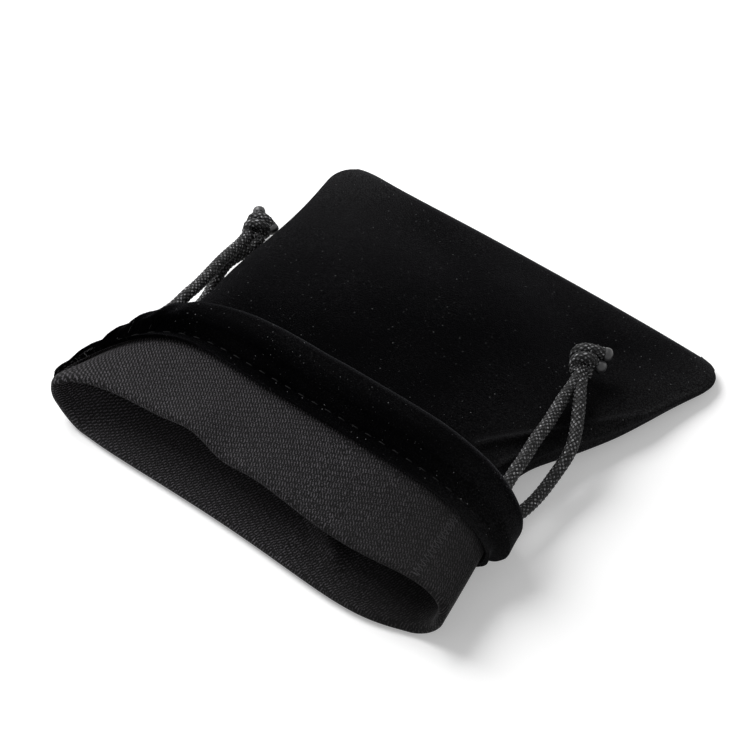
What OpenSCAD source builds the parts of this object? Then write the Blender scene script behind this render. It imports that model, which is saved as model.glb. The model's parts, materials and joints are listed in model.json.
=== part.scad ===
// Drawstring pouch lying on its back, with its mouth turned out as a cuff.
// Millimetres, +Z up. X runs across the pouch, the mouth faces -Y and the sewn far edge faces +Y.

/* [Cloth] */
// Thickness of the velvet with its knitted back
cloth_t = 1.2; // [0.8:0.1:1.6]

/* [Pouch] */
// Width of the pouch at its sewn far edge
flat_w = 100; // [94:1:130]
// Length from the sewn far edge to the folded rim, at the side seams
body_l = 88.5; // [84:0.5:130]
// Radius of the two sewn corners
corner_r = 8; // [4:0.5:12]
// Thickness of the sewn far edge
far_h = 4; // [3.6:0.2:6]
// Distance from the far edge to where the belly is measured
belly_d = 28; // [24:1:32]
// Width of the belly
belly_w = 90; // [86:1:124]
// Height of the belly
belly_h = 10.5; // [9:0.5:15]
// Height of the side seam at the belly
belly_seam_h = 4.2; // [3:0.2:6]
// How far the belly lies left of the middle of the far edge
belly_shift = 2; // [0:0.5:4]
// Length of the underside that lies flat
flat_l = 33; // [28:1:36]

/* [Neck] */
// Width of the neck inside the cuff
neck_w = 82; // [74:1:88]
// Height of the neck
neck_h = 14; // [13:0.5:20]
// Height of the side seam at the neck
neck_seam_h = 8.8; // [8.4:0.2:11]
// How far the neck lies left of the middle of the far edge
neck_shift = 4.5; // [0:0.5:6]

/* [Mouth] */
// Width of the body at the rim, inside the turned fold
rim_w = 92; // [84:1:98]
// Height of the upper lip, under the fold
rim_h = 12.8; // [12:0.2:18]
// Height of the side seam at the rim
rim_seam_h = 8.4; // [6:0.2:10]
// How far the rim lies left of the middle of the far edge
mouth_shift = 3; // [0:0.5:6]
// How far the lower lip stands out beyond the upper lip
lip_lead = 6; // [0:0.5:12]
// Radius of the fold at the rim, to the middle of the cloth
fold_r = 1.1; // [1:0.1:2]

/* [Cuff] */
// Length of the cuff from the rim to its far edge
cuff_l = 27.5; // [25:0.5:40]
// Gap between the neck and the cuff at the top of the far edge
cuff_gap_top = 2.4; // [2:0.2:8]
// Gap between the neck and the cuff at the side seams
cuff_gap_side = 3.2; // [2.6:0.2:6]
// Clearance between the neck and the cuff under it
seat_gap = 0.3; // [0.2:0.1:1]
// Width of the hem that makes the cord channel
hem_w = 11; // [10.5:0.5:16]
// Width of the raw edge beyond the hem's stitching
hem_margin = 2.6; // [2:0.2:3]
// How far the left end of the cuff is pulled towards the rim
sweep_left = 21; // [0:1:22]
// How far the right end of the cuff is pulled towards the rim
sweep_right = 4; // [0:1:14]

/* [Cord] */
// Diameter of the drawstring cords
cord_d = 3; // [2:0.1:3.2]
// Clearance round the cords in the channel
channel_gap = 0.15; // [0.1:0.05:0.4]
// Space between the two cords in one channel
cord_space = 0.8; // [0.6:0.1:1]
// Clearance of a strand where it leaves the channel, and of its end at the knot
exit_gap = 0.3; // [0.2:0.1:0.6]
// Outer diameter of a knot
knot_d = 6.4; // [6.2:0.2:8]
// Length of a knot without its tails
knot_l = 5.8; // [5:0.2:8]
// Length of the two tails beyond the knot
tail_l = 4; // [2:0.5:8]

/* [Hidden] */
$fn = 32;

half_t = cloth_t / 2;
cord_r = cord_d / 2;
// The far edge is at +y_far and the lower lip at -y_far
total_l = body_l + lip_lead / 2 + fold_r + half_t;
y_far = total_l / 2;
// Half height of the sewn far edge, to the middle of the cloth
nose_r = far_h / 2 - half_t;
// Half thickness of the hem, between the middles of its two layers
hem_half = cord_r + half_t + channel_gap;
// Distance between the middles of two layers that are stitched together
layer_gap = cloth_t + 0.1;
// Distance from the far edge to the far edge of the cuff
neck_d = body_l - cuff_l;
channel_l = hem_w - hem_margin;
// Length of the hem over which it closes on its stitching
channel_taper = 2.5;
// Height of the underside over the hem, and at the rim
neck_floor = 2 * hem_half + cloth_t + seat_gap;
rim_floor = 2 * fold_r;

// Stations from the far edge to the rim, as [distance, value]
half_width = [[0, flat_w / 2], [belly_d, belly_w / 2], [neck_d, neck_w / 2], [body_l, rim_w / 2]];
top_height = [[0, far_h], [belly_d, belly_h], [neck_d, neck_h], [body_l, rim_h]];
seam_height = [[0, far_h / 2], [belly_d, belly_seam_h], [neck_d, neck_seam_h], [body_l, rim_seam_h]];
shift_left = [[0, 0], [belly_d, belly_shift], [neck_d, neck_shift], [body_l, mouth_shift]];
floor_height = [[0, 0], [flat_l, 0], [neck_d - hem_half, neck_floor], [neck_d + channel_l, neck_floor],
    [body_l, rim_floor]];
// Power of the arch over the pouch: 2 is round and more is squarer
arch_power = [[0, 2.6], [neck_d, 3.8], [body_l, 5.5]];
// Share of the half width over which the underside is flat
flat_share = 0.866;
// Steps across a panel, and the angles at which the runs of cord in the hem end
columns = 18;
run_from = -30;
run_to = 60;
// Distance from the middle of the hem's fold to the first cord
cord_seat = 0.4;
// Power that keeps the pull on the cuff's ends near the side seams
sweep_power = 4;

// Routes of the free strands as [x, y, z] from where each leaves the channel
right_upper_route = [[0, 0, 0], [-1.2, 3.4, 0.5], [-2.9, 9, 0.3], [-4.9, 17.4, -0.1], [-6.4, 24, -0.5],
    [-8.1, 29.6, -0.6], [-9.7, 33.4, -0.3]];
right_lower_route = [[0, 0, 0], [1.2, 3.4, -0.8], [2.4, 8.4, -1.8], [2.6, 14, -0.9], [1.4, 18.6, 0.9],
    [-2, 25.4, 2.6], [-4.9, 30.6, 3.2], [-6.6, 34.6, 3.5]];
left_upper_route = [[0, 0, 0], [0.4, 5.8, -0.2], [0.7, 11.8, -0.6], [1, 17, -1.3], [0.6, 24.8, -2.6],
    [-0.5, 33.8, -4], [-2.6, 40.8, -5], [-4.1, 44.2, -5.4]];
left_lower_route = [[0, 0, 0], [0.4, 5.8, -0.2], [0.6, 11.8, -0.6], [0.5, 17, -1.2], [0.1, 24.8, -2.2],
    [0, 33.8, -3.4], [-0.4, 40.8, -3.4], [-1, 45, -2.7]];
// Height of a side's lower strand above the side seam at its start, and of the upper strand above the lower
right_start = 0;
left_start = -3.2;
strand_step = 3.8;
// How far the left strands start short of the hem's slanted end
left_exit_back = 3;

function clamp01(v) = max(0, min(1, v));
function ease(v) = let (c = clamp01(v)) c * c * (3 - 2 * c);
function mix(a, b, t) = a + (b - a) * t;

function segment(table, d, i = 0) =
    i >= len(table) - 2 || d < table[i + 1][0] ? i : segment(table, d, i + 1);
function slope(table, i) =
    let (a = max(0, i - 1), b = min(len(table) - 1, i + 1))
    (table[b][1] - table[a][1]) / (table[b][0] - table[a][0]);
// Smooth curve through the stations
function curve(table, d) =
    let (
        i = segment(table, d),
        h = table[i + 1][0] - table[i][0],
        u = clamp01((d - table[i][0]) / h),
        m0 = slope(table, i) * h,
        m1 = slope(table, i + 1) * h
    )
    mix(table[i][1], table[i + 1][1], ease(u)) + m0 * u * (1 - u) * (1 - u) - m1 * u * u * (1 - u);
// Curve that is level at each station
function steps(table, d) =
    let (i = segment(table, d), h = table[i + 1][0] - table[i][0])
    mix(table[i][1], table[i + 1][1], ease((d - table[i][0]) / h));

// Half width of the middle of the cloth, with the corners' arcs; inset is the depth under the outer face
function cloth_half_width(d, inset) =
    let (arc = sqrt(max(0, pow(corner_r - inset, 2) - pow(corner_r - d, 2))))
    curve(half_width, d) - (d < corner_r ? corner_r - arc : inset);

function arch_at(s, d) = sqrt(1 - pow(abs(s), curve(arch_power, d)));
function flat_at(s) =
    abs(s) <= flat_share ? 1 : sqrt(max(0, 1 - pow((abs(s) - flat_share) / (1 - flat_share), 2)));

// How far the cuff's far edge is pulled towards the rim at angle p across the pouch
function sweep_at(p) = (p > 0 ? sweep_right : sweep_left) * pow(abs(sin(p)), sweep_power);
// Distance at which the middle of the pouch has the same layers as a place at distance d and angle p
function layer_distance(d, p) =
    let (w = sweep_at(p))
    d < neck_d + w ? d - w : body_l - (body_l - d) / (1 - w / cuff_l);

// Gap from the neck to the cuff, [side, top, bottom], at a share u of the way from the rim to the far edge
function cuff_gap(u) = let (r = 2 * fold_r) [
    mix(r, cuff_gap_side, ease(u)),
    mix(r, cuff_gap_top, clamp01(u)),
    mix(r, cloth_t + seat_gap, ease(u / (1 - channel_l / cuff_l)))
];

// A row across a panel is [distance, gap, offset from the middle of the cloth, share of the cuff, nose angle]
function nose_rows(e) = [for (a = [0, 30, 60])
    [nose_r + half_t - (nose_r + e) * cos(a), [0, 0, 0], e, 0, a]];
function body_rows(e) = [for (d = concat(
        [for (k = [0:4]) mix(nose_r + half_t, corner_r, k / 4)],
        [for (k = [1:10]) mix(corner_r, body_l, k / 10)]))
    [d, [0, 0, 0], e, 0, 90]];
function rim_rows(e) = [for (a = [30:30:150])
    [body_l + (fold_r - e) * sin(a), [0, 0, 0], fold_r - (fold_r - e) * cos(a), 0, 90]];
function cuff_rows(e) = [for (k = [0:7])
    [body_l - cuff_l * k / 7, cuff_gap(k / 7), -e, k / 7, 90]];
function hem_fold_rows(e) = [for (a = [36:36:144])
    [neck_d - (hem_half + e) * sin(a), cuff_gap(1), hem_half - (hem_half + e) * cos(a), 1, 90]];
function hem_lift(s) = mix(2 * hem_half, layer_gap, ease((s - channel_l + channel_taper) / channel_taper));
function strip_rows(e) = [for (s = [0, channel_l / 4, channel_l / 2, channel_l - channel_taper,
        channel_l - channel_taper / 2, channel_l, hem_w])
    [neck_d + s, cuff_gap(1 - s / cuff_l), hem_lift(s) + e, 1 - s / cuff_l, 90]];
function panel_rows(e) =
    concat(nose_rows(e), body_rows(e), rim_rows(e), cuff_rows(e), hem_fold_rows(e), strip_rows(e));
// Row through the middle of the channel, for the first or the second cord from its fold
function cord_row(i) =
    let (s = cord_seat + i * (cord_d + cord_space))
    [neck_d + s, cuff_gap(1 - s / cuff_l), hem_half, 1 - s / cuff_l, 90];

// Point of a row at angle p across the pouch, on the upper side (1) or the lower side (-1)
function ring_point(row, p, side) =
    let (
        s = sin(p),
        nose = row[4] < 90,
        d = row[0] + row[3] * sweep_at(p),
        seam = curve(seam_height, d),
        up = curve(top_height, d) - half_t - seam,
        down = seam - steps(floor_height, row[3] > 0 ? row[0] : layer_distance(d, p)) - half_t,
        a = nose ? cloth_half_width(d, half_t - row[2]) : cloth_half_width(d, half_t) + row[1][0] + row[2],
        b = nose
            ? (nose_r + row[2]) * sin(row[4])
            : (side > 0 ? up + row[1][1] : down + row[1][2]) + row[2],
        profile = side > 0 ? arch_at(s, d) : flat_at(s),
        lead = lip_lead / 2 * ease((d - neck_d) / cuff_l) * -side * profile
    )
    [a * s - curve(shift_left, d), y_far - d - lead, seam + side * b * profile];

function panel_grid(e, side) = [for (row = panel_rows(e))
    [for (c = [0:columns]) ring_point(row, -90 + 180 * c / columns, side)]];

// The cloth's middle across the pouch, which is set at x = 0
cloth_x = [for (side = [-1, 1], row = panel_grid(half_t, side), point = row) point[0]];
x_mid = (max(cloth_x) + min(cloth_x)) / 2;

// Upright line at the hem's far edge, beside the side seam, from which the strands of one side leave
function exit_at(side) =
    let (
        pull = side > 0 ? sweep_right : sweep_left,
        back = side > 0 ? 0 : left_exit_back,
        d = neck_d + pull - back - hem_half - half_t - exit_gap - cord_r
    )
    [side * (curve(half_width, d) + exit_gap + cord_r) - curve(shift_left, d), y_far - d, curve(seam_height, d)];
function strand_points(side, upper, route) =
    let (start = exit_at(side) + [0, 0, (side > 0 ? right_start : left_start) + (upper ? strand_step : 0)])
    [for (point = route) start + point];
function side_strands(side) = [
    strand_points(side, true, side > 0 ? right_upper_route : left_upper_route),
    strand_points(side, false, side > 0 ? right_lower_route : left_lower_route)
];
// Level direction in which the two strands of a side reach their knot
function pull_direction(side) =
    let (sum = [1, 1] * [for (p = side_strands(side)) p[len(p) - 1] - p[len(p) - 2]])
    [sum[0], sum[1], 0] / norm([sum[0], sum[1]]);
// Middle of a knot's face towards its strands, a clearance beyond their ends
function knot_face(side) =
    let (ends = [for (p = side_strands(side)) p[len(p) - 1]])
    (ends[0] + ends[1]) / 2 + exit_gap * pull_direction(side);
// Middle of a run of cord in the channel
function run_points(i, side) = [for (p = [run_from:180 / columns:run_to]) ring_point(cord_row(i), p, side)];

// Closed sheet between two grids of points with the same rows and columns
module sheet(outer, inner, turned) {
    rows = len(outer);
    cols = len(outer[0]);
    n = rows * cols;
    function quad(a, b, c, d) = turned ? [[a, c, b], [a, d, c]] : [[a, b, c], [a, c, d]];
    faces = concat(
        [for (r = [0:rows - 2], c = [0:cols - 2]) each
            quad(r * cols + c, r * cols + c + 1, (r + 1) * cols + c + 1, (r + 1) * cols + c)],
        [for (r = [0:rows - 2], c = [0:cols - 2]) each
            quad(n + r * cols + c, n + (r + 1) * cols + c, n + (r + 1) * cols + c + 1, n + r * cols + c + 1)],
        [for (r = [0:rows - 2], c = [0, cols - 1]) each
            c == 0
            ? quad(r * cols, (r + 1) * cols, n + (r + 1) * cols, n + r * cols)
            : quad(r * cols + c, n + r * cols + c, n + (r + 1) * cols + c, (r + 1) * cols + c)],
        [for (c = [0:cols - 2], r = [0, rows - 1]) each
            r == 0
            ? quad(c, n + c, n + c + 1, c + 1)
            : quad(r * cols + c, r * cols + c + 1, n + r * cols + c + 1, n + r * cols + c)]
    );
    translate([-x_mid, 0, 0])
        polyhedron(points = concat([for (r = outer) each r], [for (r = inner) each r]), faces = faces, convexity = 8);
}

// Round cord along a route, with upright ends where the route runs level
module cord(route) {
    sides = 8;
    last = len(route) - 1;
    function along(i) = route[min(i + 1, last)] - route[max(i - 1, 0)];
    function unit(v) = v / norm(v);
    rings = [for (i = [0:last])
        let (t = unit(along(i)), across = unit(cross(t, [0, 0, 1])), up = cross(across, t))
        for (k = [0:sides - 1])
            route[i] + cord_r * (cos(360 * k / sides) * across + sin(360 * k / sides) * up)];
    walls = [for (i = [0:last - 1], k = [0:sides - 1])
        let (m = (k + 1) % sides)
        [i * sides + k, i * sides + m, (i + 1) * sides + m, (i + 1) * sides + k]];
    ends = [[for (k = [sides - 1:-1:0]) k], [for (k = [0:sides - 1]) last * sides + k]];
    translate([-x_mid, 0, 0]) polyhedron(points = rings, faces = concat(walls, ends), convexity = 4);
}

// Overhand knot seen from its strands: two stubs, two wraps round them and two melted tails
module knot(side) {
    wrap_r = knot_d / 2 - cord_r;
    wrap_tilt = 24;
    wrap_z = cord_r + wrap_r * sin(wrap_tilt);
    tail_spread = 26;
    pull = pull_direction(side);
    translate(knot_face(side) - [x_mid, 0, 0]) rotate([-90, 0, -atan2(pull[0], pull[1])]) union() {
        for (x = [-wrap_r, wrap_r])
            translate([x, 0, 0]) cylinder(h = knot_l - cord_r, r = cord_r);
        for (i = [0, 1])
            translate([0, 0, mix(wrap_z, knot_l - wrap_z, i)])
                rotate([0, (1 - 2 * i) * wrap_tilt, 0])
                    rotate_extrude() translate([wrap_r, 0]) circle(r = cord_r);
        for (turn = [-1, 1])
            translate([0, 0, knot_l - cord_r]) rotate([0, turn * tail_spread, 0]) {
                cylinder(h = tail_l, r = cord_r);
                translate([0, 0, tail_l]) sphere(r = cord_r);
            }
    }
}

module front_panel() {
    color("#1b1b1e") sheet(panel_grid(half_t, 1), panel_grid(-half_t, 1), false);
}

module back_panel() {
    color("#161618") sheet(panel_grid(half_t, -1), panel_grid(-half_t, -1), true);
}

module left_cord_front_run() {
    color("#101012") cord(run_points(0, 1));
}

module right_cord_front_run() {
    color("#101012") cord(run_points(1, 1));
}

module left_cord_back_run() {
    color("#101012") cord(run_points(0, -1));
}

module right_cord_back_run() {
    color("#101012") cord(run_points(1, -1));
}

module left_upper_strand() {
    color("#141416") cord(strand_points(-1, true, left_upper_route));
}

module left_lower_strand() {
    color("#141416") cord(strand_points(-1, false, left_lower_route));
}

module right_upper_strand() {
    color("#141416") cord(strand_points(1, true, right_upper_route));
}

module right_lower_strand() {
    color("#141416") cord(strand_points(1, false, right_lower_route));
}

module left_knot() {
    color("#141416") knot(-1);
}

module right_knot() {
    color("#141416") knot(1);
}

front_panel();
back_panel();
left_cord_front_run();
right_cord_front_run();
left_cord_back_run();
right_cord_back_run();
left_upper_strand();
left_lower_strand();
right_upper_strand();
right_lower_strand();
left_knot();
right_knot();
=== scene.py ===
import json
import math
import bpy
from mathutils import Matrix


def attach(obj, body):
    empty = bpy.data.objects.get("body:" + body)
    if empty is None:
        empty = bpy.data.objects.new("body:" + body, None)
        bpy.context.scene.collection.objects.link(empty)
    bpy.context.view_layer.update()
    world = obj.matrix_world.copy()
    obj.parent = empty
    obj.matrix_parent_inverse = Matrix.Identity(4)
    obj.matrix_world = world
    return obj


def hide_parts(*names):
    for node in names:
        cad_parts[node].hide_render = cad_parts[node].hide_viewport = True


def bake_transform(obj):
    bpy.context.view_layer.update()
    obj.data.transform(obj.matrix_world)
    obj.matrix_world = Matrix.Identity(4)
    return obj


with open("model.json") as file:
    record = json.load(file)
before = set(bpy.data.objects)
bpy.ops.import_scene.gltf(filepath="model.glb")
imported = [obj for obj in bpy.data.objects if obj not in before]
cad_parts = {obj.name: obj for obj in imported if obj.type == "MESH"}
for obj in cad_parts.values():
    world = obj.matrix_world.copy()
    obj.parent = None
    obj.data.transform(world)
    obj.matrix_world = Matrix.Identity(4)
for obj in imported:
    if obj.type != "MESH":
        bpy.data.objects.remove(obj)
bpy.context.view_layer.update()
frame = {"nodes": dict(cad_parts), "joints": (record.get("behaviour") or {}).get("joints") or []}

from types import SimpleNamespace

import bpy
import numpy as np
from mathutils import Matrix, Vector

joints = {j["name"]: j for j in frame["joints"]}
scene = bpy.context.scene
mm = 0.001


# Camera, where the photograph was taken from
view = {
    "elevation": 48.19,   # degrees above the table
    "azimuth": 37.53,     # degrees round from the mouth towards the right side
    "distance": 0.51092,  # metres from the origin
    "fieldOfView": 17,    # degrees
    "originPixel": (380.2, 391.5),
    "imageSize": 750,
    "nearest": 0.01,      # metres
}


def addCamera():
    e, a = math.radians(view["elevation"]), math.radians(view["azimuth"])
    back = Vector((math.sin(a) * math.cos(e), -math.cos(a) * math.cos(e), math.sin(e)))
    cam = bpy.data.objects.new("camera", bpy.data.cameras.new("camera"))
    scene.collection.objects.link(cam)
    cam.location = back * view["distance"]
    cam.rotation_euler = (-back).to_track_quat("-Z", "Y").to_euler()
    cam.data.angle = math.radians(view["fieldOfView"])
    half = view["imageSize"] / 2
    cam.data.shift_x = (half - view["originPixel"][0]) / view["imageSize"]
    cam.data.shift_y = (view["originPixel"][1] - half) / view["imageSize"]
    cam.data.clip_start = view["nearest"]
    scene.camera = cam


addCamera()
print("camera ready")


# Node helpers for the materials
def newMaterial(name):
    mat = bpy.data.materials.new(name)
    mat.use_nodes = True
    return mat, mat.node_tree, mat.node_tree.nodes["Principled BSDF"]


def feed(tree, socket, value):  # from another node, or a plain value
    if isinstance(value, bpy.types.NodeSocket):
        tree.links.new(value, socket)
    else:
        socket.default_value = (*value, 1) if socket.type == "RGBA" else value


def feedAll(tree, node, inputs):
    for key, value in inputs.items():
        feed(tree, node.inputs[key], value)


def addNode(tree, kind, inputs=None, **settings):
    node = tree.nodes.new(kind)
    for key, value in settings.items():
        setattr(node, key, value)
    feedAll(tree, node, inputs or {})
    return node


def maths(tree, operation, *values):
    return addNode(tree, "ShaderNodeMath", dict(enumerate(values)), operation=operation).outputs[0]


def ramp(tree, value, low, high, toLow=0.0, toHigh=1.0, shape="SMOOTHSTEP"):
    inputs = {"Value": value, "From Min": low, "From Max": high, "To Min": toLow, "To Max": toHigh}
    node = addNode(tree, "ShaderNodeMapRange", inputs, clamp=True, interpolation_type=shape)
    return node.outputs["Result"]


def noiseAt(tree, place, scale, detail=2.0, roughness=0.5):
    inputs = {"Vector": place, "Scale": scale, "Detail": detail, "Roughness": roughness}
    return addNode(tree, "ShaderNodeTexNoise", inputs).outputs["Fac"]


def mixColour(tree, share, dark, light):
    node = addNode(tree, "ShaderNodeMix", {"Factor": share}, data_type="RGBA")
    sockets = [s for s in node.inputs if s.type == "RGBA"]
    for socket, value in zip(sockets, (dark, light)):
        feed(tree, socket, value)
    return [s for s in node.outputs if s.type == "RGBA"][0]


def placeOn(tree, name):
    return addNode(tree, "ShaderNodeAttribute", attribute_name=name).outputs["Vector"]


def ownPlace(tree):
    return addNode(tree, "ShaderNodeTexCoord").outputs["Object"]


def finishLook(tree, shader, look, colour, height, roughBy=None):
    strength, distance = look["bump"]
    bump = addNode(tree, "ShaderNodeBump", {"Height": height, "Strength": strength, "Distance": distance})
    feedAll(tree, shader, {"Base Color": colour, "Normal": bump.outputs["Normal"]})
    if roughBy is not None:
        feedAll(tree, shader, {"Roughness": ramp(tree, roughBy, *look["roughness"])})
    plain = {"specular": "Specular IOR Level", "sheen": "Sheen Weight", "sheenRoughness": "Sheen Roughness"}
    feedAll(tree, shader, {name: look[key] for key, name in plain.items() if key in look})


# Velvet face of the cloth. Here and below, a pattern's range is followed by the shares that its two ends
# give, or by nothing where they give 0 and 1
velvetLook = {
    "pile": (0.0002, 0.0002, 0.0003),      # colour deep in the pile
    "pileTips": (0.0072, 0.0071, 0.0076),  # colour where the pile leans over
    "paintedSheen": (0.034, 0.034, 0.035),       # painted sheen: lighter pile colour along the edges, the hem fold and the crease
    "tufts": 3.6,  # tufts to the millimetre
    "tuftsShow": (0.5, 0.72),
    "paintedSheenShows": (0.36, 0.7, 0.2, 1.0),
    "lean": 0.06,  # patches to the millimetre where the pile leans over
    "leanShows": (0.36, 0.64, 0.12, 1.0),
    "specks": {"apart": 1.6, "radius": 0.07, "colour": (0.15, 0.15, 0.155)},   # bright lint
    "dust": {"apart": 0.8, "radius": 0.17, "colour": (0.016, 0.016, 0.017)},   # faint lint, in drifts
    "lintPower": 3.0,  # more of it makes the large specks rarer
    "drifts": 0.11,  # to the millimetre
    "driftsShow": (0.4, 0.62, 0.25, 1.0),
    "roughness": 0.85, "specular": 0.0, "bump": (0.7, 0.00025),
    "sheen": 0.14, "sheenRoughness": 0.36, "sheenTint": (0.55, 0.55, 0.6),
}


def lintOn(tree, place, lint):  # specks of uneven size, apart in millimetres
    inputs = {"Vector": place, "Scale": 1 / lint["apart"]}
    cells = addNode(tree, "ShaderNodeTexVoronoi", inputs, voronoi_dimensions="2D")
    chance = addNode(tree, "ShaderNodeSeparateColor", {"Color": cells.outputs["Color"]})
    size = maths(tree, "POWER", chance.outputs["Red"], velvetLook["lintPower"])
    reach = maths(tree, "MULTIPLY", size, lint["radius"])
    inside = maths(tree, "LESS_THAN", cells.outputs["Distance"], reach)
    return maths(tree, "MULTIPLY", inside, chance.outputs["Green"])


def velvetMaterial():
    look = velvetLook
    mat, tree, shader = newMaterial("velvet")
    place = placeOn(tree, "clothPlace")  # millimetres across and along the cloth, and how much painted sheen it has
    lean = ramp(tree, noiseAt(tree, place, look["lean"], 3), *look["leanShows"])
    nap = noiseAt(tree, place, look["tufts"], 2, 0.75)
    tips = maths(tree, "MULTIPLY", lean, ramp(tree, nap, *look["tuftsShow"]))
    pile = mixColour(tree, tips, look["pile"], look["pileTips"])
    split = addNode(tree, "ShaderNodeSeparateXYZ", {"Vector": place})
    # painted sheen, broken up by the tufts
    paintedSheen = maths(tree, "MULTIPLY", split.outputs["Z"], ramp(tree, nap, *look["paintedSheenShows"]))
    pile = mixColour(tree, paintedSheen, pile, look["paintedSheen"])
    drift = ramp(tree, noiseAt(tree, place, look["drifts"], 2), *look["driftsShow"])
    dust = maths(tree, "MULTIPLY", lintOn(tree, place, look["dust"]), drift)
    pile = mixColour(tree, dust, pile, look["dust"]["colour"])
    specks = lintOn(tree, place, look["specks"])
    pile = mixColour(tree, specks, pile, look["specks"]["colour"])
    finishLook(tree, shader, look, pile, nap)
    feedAll(tree, shader, {"Roughness": look["roughness"], "Sheen Tint": look["sheenTint"]})
    return mat


# Knitted back of the cloth, which shows on the cuff and inside the mouth
knitLook = {
    "hollow": (0.0006, 0.0005, 0.0007),
    "yarn": (0.103, 0.0965, 0.107),
    "paintedShadeColour": (0.022, 0.02, 0.0215),   # painted shade: the yarn's colour towards the right end
    "rows": (0.56, 46),     # millimetres between slanting rows, and degrees round from across the cloth
    "loops": (0.57, 14),    # the same for the loops along a row
    "uneven": 1.3,          # changes to the millimetre in how far a row strays
    "stray": 1.6,           # from side to side, in radians of a row
    "fuzz": 4.6,            # fibre ends to the millimetre
    "fuzzShows": (0.3, 0.7, -2.0, 2.0),
    "yarnShows": (0.0, 2.8),
    "roughness": (0.0, 1.0, 0.95, 0.7), "specular": 0.18, "bump": (0.6, 0.0002),
    "sheen": 0.035, "sheenRoughness": 0.5,
}


def knitMaterial():
    look = knitLook
    mat, tree, shader = newMaterial("knit")
    place = placeOn(tree, "clothPlace")  # millimetres across and along, and how much painted shade it has
    split = addNode(tree, "ShaderNodeSeparateXYZ", {"Vector": place})
    uneven = noiseAt(tree, place, look["uneven"], 2)
    wobble = maths(tree, "MULTIPLY_ADD", uneven, look["stray"], -look["stray"] / 2)
    waves = []
    for pitch, turn in (look["rows"], look["loops"]):
        turns, slant = 2 * math.pi / pitch, math.radians(turn)
        across = maths(tree, "MULTIPLY_ADD", split.outputs["X"], turns * math.cos(slant), wobble)
        phase = maths(tree, "MULTIPLY_ADD", split.outputs["Y"], turns * math.sin(slant), across)
        waves.append(maths(tree, "COSINE", phase))
    fuzz = ramp(tree, noiseAt(tree, place, look["fuzz"], 2, 0.7), *look["fuzzShows"])
    loops = maths(tree, "ADD", maths(tree, "ADD", *waves), fuzz)
    yarn = ramp(tree, loops, *look["yarnShows"])
    # painted shade: the yarn darkens towards the right
    light = mixColour(tree, split.outputs["Z"], look["yarn"], look["paintedShadeColour"])
    colour = mixColour(tree, yarn, look["hollow"], light)
    finishLook(tree, shader, look, colour, yarn, yarn)
    return mat


# Braided satin cord, with painted glints on the yarn crowns and painted shade between the yarns
cordLook = {
    "shade": (0.0005, 0.0005, 0.0006),
    # painted glint colour, on the crowns of the yarns
    "light": (0.54, 0.54, 0.555),
    "fibre": 6.0,     # fibres across a yarn
    "streak": 0.3,    # and how little a fibre changes along it
    "patchy": 1.1,    # bright and dull lengths to a yarn
    "crownShows": (0.45, 1.0),
    "fibreShows": (0.42, 0.64, 0.02, 1.0),
    "patchShows": (0.4, 0.62, 0.05, 1.0),
    "roughness": (0.0, 1.0, 0.6, 0.3), "specular": 0.16, "bump": (0.3, 0.00006),
}


def cordMaterial(name, placeName=None):
    look = cordLook
    mat, tree, shader = newMaterial(name)
    # Yarn number across, millimetres along and height of the braid, where the cord has them
    place = placeOn(tree, placeName) if placeName else ownPlace(tree)
    split = addNode(tree, "ShaderNodeSeparateXYZ", {"Vector": place})
    inputs = {0: place, 1: (1, look["streak"], look["streak"])}
    drawn = addNode(tree, "ShaderNodeVectorMath", inputs, operation="MULTIPLY")
    fibre = noiseAt(tree, drawn.outputs["Vector"], look["fibre"], 2, 0.6)
    patchy = noiseAt(tree, place, look["patchy"], 2, 0.7)
    # painted glint on the crowns, broken by fibres and patches, and painted shade between the yarns
    paintedGlint = ramp(tree, split.outputs["Z"] if placeName else fibre, *look["crownShows"])
    for noise, shows in ((fibre, "fibreShows"), (patchy, "patchShows")):
        paintedGlint = maths(tree, "MULTIPLY", paintedGlint, ramp(tree, noise, *look[shows]))
    colour = mixColour(tree, paintedGlint, look["shade"], look["light"])
    finishLook(tree, shader, look, colour, fibre, paintedGlint)
    return mat


# Melted cord ends and sewing thread, with their grain to the metre
meltedLook = {
    "dark": (0.004, 0.004, 0.005), "light": (0.036, 0.036, 0.038), "grain": 900, "detail": 3,
    "roughness": (0.3, 0.7, 0.28, 0.5), "bump": (0.3, 0.0001),
}
threadLook = {
    "dark": (0.0007, 0.0007, 0.0008), "light": (0.007, 0.007, 0.0075), "grain": 4000, "detail": 2,
    "roughness": (0.3, 0.7, 0.7, 0.45), "specular": 0.1, "bump": (0.4, 0.00005),
}
seamThreadLook = {**threadLook, "dark": (0.004, 0.004, 0.0045), "light": (0.058, 0.056, 0.06)}


def grainyMaterial(name, look):
    mat, tree, shader = newMaterial(name)
    grain = noiseAt(tree, ownPlace(tree), look["grain"], look["detail"])
    colour = mixColour(tree, grain, look["dark"], look["light"])
    finishLook(tree, shader, look, colour, grain, grain)
    return mat


velvet = velvetMaterial()
knit = knitMaterial()
braid = cordMaterial("braidedCord", "cordPlace")
hiddenCord = cordMaterial("cordInHem")
melted = grainyMaterial("meltedEnd", meltedLook)
thread = grainyMaterial("thread", threadLook)
seamThread = grainyMaterial("seamThread", seamThreadLook)
print("materials ready")


# Meshes from arrays of points
smoothAngle = 50  # degrees, and a sharper edge stays sharp


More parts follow.
